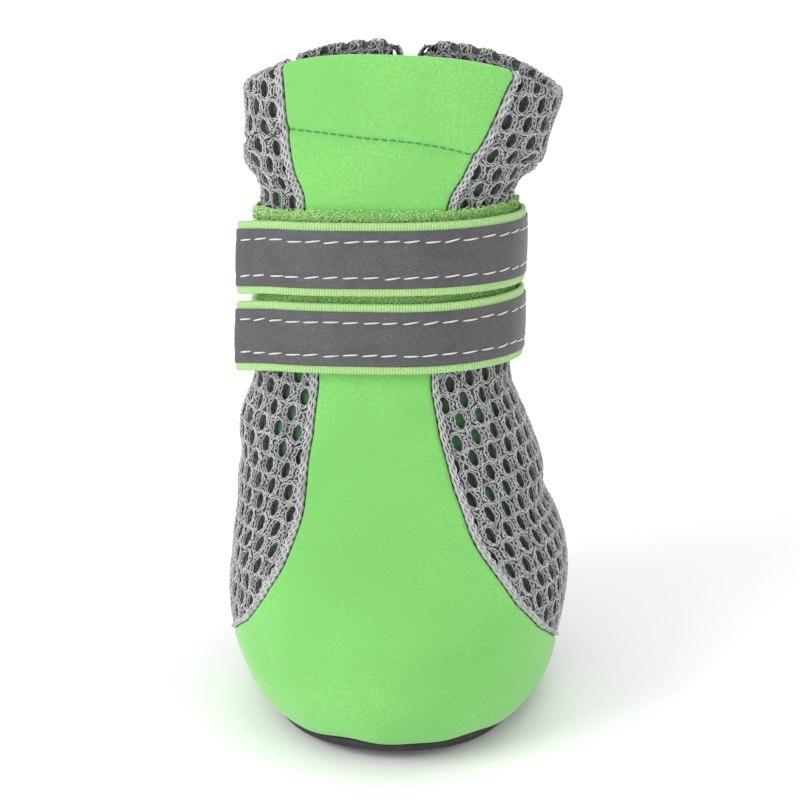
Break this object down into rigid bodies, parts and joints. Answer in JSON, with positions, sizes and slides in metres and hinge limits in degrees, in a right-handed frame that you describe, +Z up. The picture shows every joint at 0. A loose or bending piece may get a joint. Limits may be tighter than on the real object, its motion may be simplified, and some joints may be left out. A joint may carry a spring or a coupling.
{
  "type": "dog boot",
  "caption": "Soft dog boot with a hollow upper of stretch fabric and mesh, a rubber sole and reflective hook and loop straps round the ankle.",
  "frame": {"origin": "on the floor, under the middle of the boot's bounding box", "axes": "+Z up, the toe points along -Y and the heel along +Y, +X is the side to the right when the toe is seen from the front"},
  "size_m": [0.0676, 0.0834, 0.1347],
  "materials": {
    "rubber_sole": "matt black knurled rubber",
    "insole_foam": "grey knitted lining on thin foam",
    "foam_fabric": "bright green fine knit, laminated on thin foam, soft matt",
    "spacer_mesh": "grey knitted spacer mesh with oval holes",
    "pile_tape": "green loop pile tape",
    "reflective_tape": "grey reflective strip with a fine sparkle, sewn on green woven tape",
    "thread": "white sewing thread"
  },
  "bodies": {
    "root": {"outsole": "rubber_sole", "insole": "insole_foam", "upper": "foam_fabric", "lower_loop_band": "pile_tape", "lower_strap": "reflective_tape", "upper_loop_band": "pile_tape", "upper_strap": "reflective_tape"}
  },
  "joints": []
}
